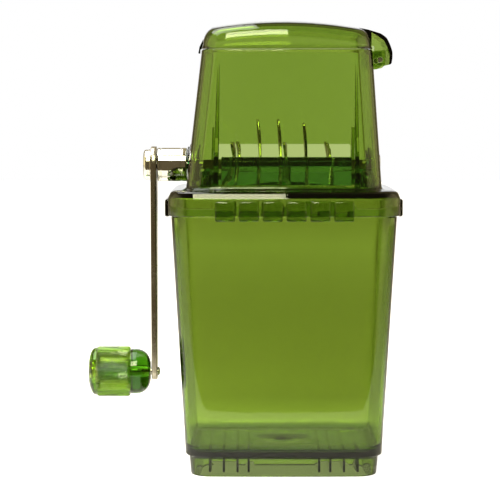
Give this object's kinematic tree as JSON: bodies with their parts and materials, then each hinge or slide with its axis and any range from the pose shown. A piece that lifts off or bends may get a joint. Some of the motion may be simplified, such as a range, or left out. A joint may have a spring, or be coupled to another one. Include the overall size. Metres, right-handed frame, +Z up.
{
  "type": "hand-cranked ice crusher",
  "caption": "Hand-cranked ice crusher: drafted see-through jug, hopper housing with bladed rotor and fixed breakers, hinged lid, side crank with turning knob.",
  "frame": {"origin": "on the table, at the centre of the whole part's outline, crank included", "axes": "+Z up, +X to the right as seen from the front so that the crank is on the -X side, +Y to the back"},
  "size_m": [0.1756, 0.1176, 0.2499],
  "materials": {
    "green_plastic": "clear green, glossy, moulded",
    "knob_plastic": "clear green, glossy, moulded",
    "chrome": "polished",
    "steel": "satin"
  },
  "bodies": {
    "container": {"container": "green_plastic"},
    "housing": {"housing": "green_plastic", "lid_hinge_pin": "steel", "front_breaker": "green_plastic", "rear_breaker": "green_plastic", "breaker_screw_1": "steel", "breaker_screw_2": "steel", "breaker_screw_3": "steel", "breaker_screw_4": "steel", "left_bush": "green_plastic", "right_bush": "green_plastic"},
    "lid": {"lid": "green_plastic"},
    "rotor": {"shaft": "steel", "blade_1": "steel", "blade_2": "steel", "blade_3": "steel", "blade_4": "steel", "blade_5": "steel", "blade_6": "steel", "blade_7": "steel", "shaft_end_cap": "steel", "crank_sleeve": "chrome", "crank_arm": "steel", "crank_cap_nut": "chrome", "knob_axle": "steel"},
    "knob": {"knob_core": "knob_plastic", "knob_grip": "knob_plastic", "knob_end_cap": "knob_plastic"}
  },
  "joints": [
    {"name": "housing_lift", "type": "slide", "parent": "container", "child": "housing", "axis": [0, 0, 1], "range_m": [0, 0.06]},
    {"name": "lid_hinge", "type": "hinge", "parent": "housing", "child": "lid", "pos_m": [0.07545, 0, 0.228], "axis": [0, 1, 0], "range_deg": [0, 88]},
    {"name": "crank", "type": "hinge", "parent": "housing", "child": "rotor", "pos_m": [0.02235, 0, 0.1698], "axis": [1, 0, 0], "continuous": true},
    {"name": "knob_spin", "type": "hinge", "parent": "rotor", "child": "knob", "pos_m": [-0.06775, 0, 0.0524], "axis": [1, 0, 0], "continuous": true}
  ]
}
